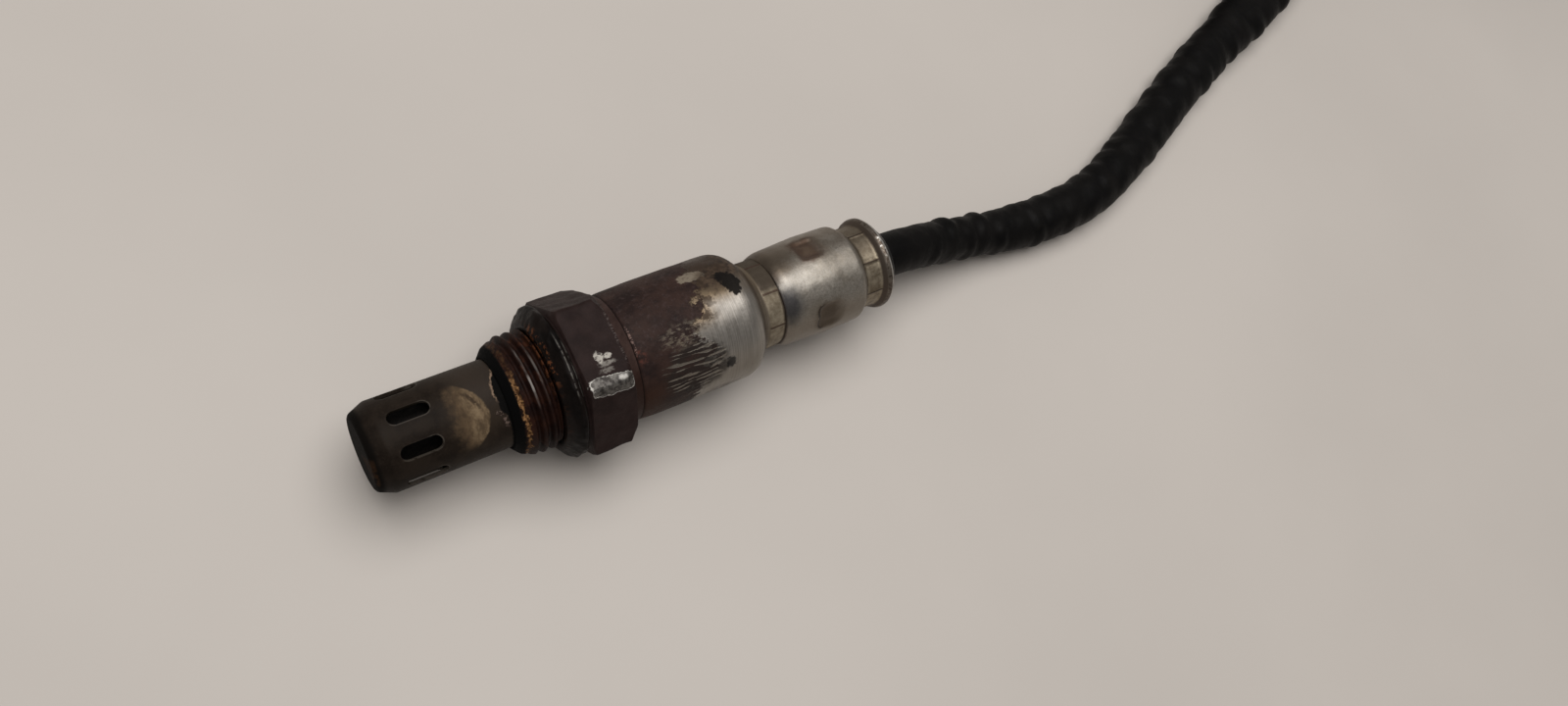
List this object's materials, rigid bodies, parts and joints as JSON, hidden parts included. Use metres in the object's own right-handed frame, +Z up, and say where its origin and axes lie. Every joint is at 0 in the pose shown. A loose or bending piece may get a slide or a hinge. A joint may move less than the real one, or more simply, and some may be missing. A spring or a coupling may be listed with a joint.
{
  "type": "oxygen sensor",
  "caption": "Heated exhaust oxygen sensor with a slotted protection tube, hexagon, crimped casing and a sleeved lead that ends in a sealed connector.",
  "frame": {"origin": "on the sensor's axis, in the gasket's sealing face", "axes": "+X along the sensor's axis from the hot tip to the lead, +Z up out of the hexagon's upper flat, with the sensor lying on the opposite side"},
  "size_m": [0.345, 0.0828, 0.023],
  "materials": {
    "shell_steel": "dark heat-oxidised machined steel with rust in the thread",
    "gasket_steel": "dark oxidised folded steel",
    "tube_steel": "heat-browned deep-drawn steel with an ochre stain",
    "inner_tube_steel": "sooty heat-browned steel",
    "zirconia": "matt white zirconia ceramic",
    "heater_ceramic": "smooth alumina ceramic",
    "talc": "pressed talc powder",
    "support_ceramic": "steatite ceramic",
    "packing_steel": "plain steel ring",
    "contact_alloy": "nickel alloy spring strip",
    "casing_steel": "stainless sleeve, rust-brown at the hexagon and bright at the shoulder",
    "sleeve_steel": "satin stainless sleeve with tan crimped bands",
    "holder_ceramic": "steatite ceramic",
    "spring_steel": "spring steel",
    "terminal_alloy": "plated crimp terminals",
    "signal_wire": "dark wire insulation",
    "heater_wire": "white wire insulation",
    "grommet_rubber": "black heat-proof rubber",
    "lead_rubber": "black wrinkled heat-proof sleeve",
    "tie_plastic": "black nylon",
    "tail_wire": "wire insulation, two white, one grey and one blue",
    "connector_plastic": "moulded black plastic",
    "seal_rubber": "orange silicone rubber",
    "pin_plating": "tin plating",
    "lock_plastic": "moulded pale grey plastic"
  },
  "bodies": {
    "root": {"housing_shell": "shell_steel", "gasket": "gasket_steel", "outer_protection_tube": "tube_steel", "inner_protection_tube": "inner_tube_steel", "sensing_element": "zirconia", "heater_rod": "heater_ceramic", "powder_ring": "talc", "ceramic_ring": "support_ceramic", "packing_ring": "packing_steel", "outer_contact": "contact_alloy", "inner_contact": "contact_alloy", "front_casing": "casing_steel", "rear_sleeve": "sleeve_steel", "contact_holder": "holder_ceramic", "spring_sleeve": "spring_steel", "sensor_terminals": "terminal_alloy", "signal_wires": "signal_wire", "heater_wires": "heater_wire", "grommet": "grommet_rubber", "lead_sleeve": "lead_rubber", "lead_hank": "lead_rubber", "hank_tie": "tie_plastic", "tail_wires": "tail_wire", "connector_housing": "connector_plastic", "connector_seal": "seal_rubber", "connector_pins": "pin_plating", "connector_lock": "lock_plastic"}
  },
  "joints": []
}
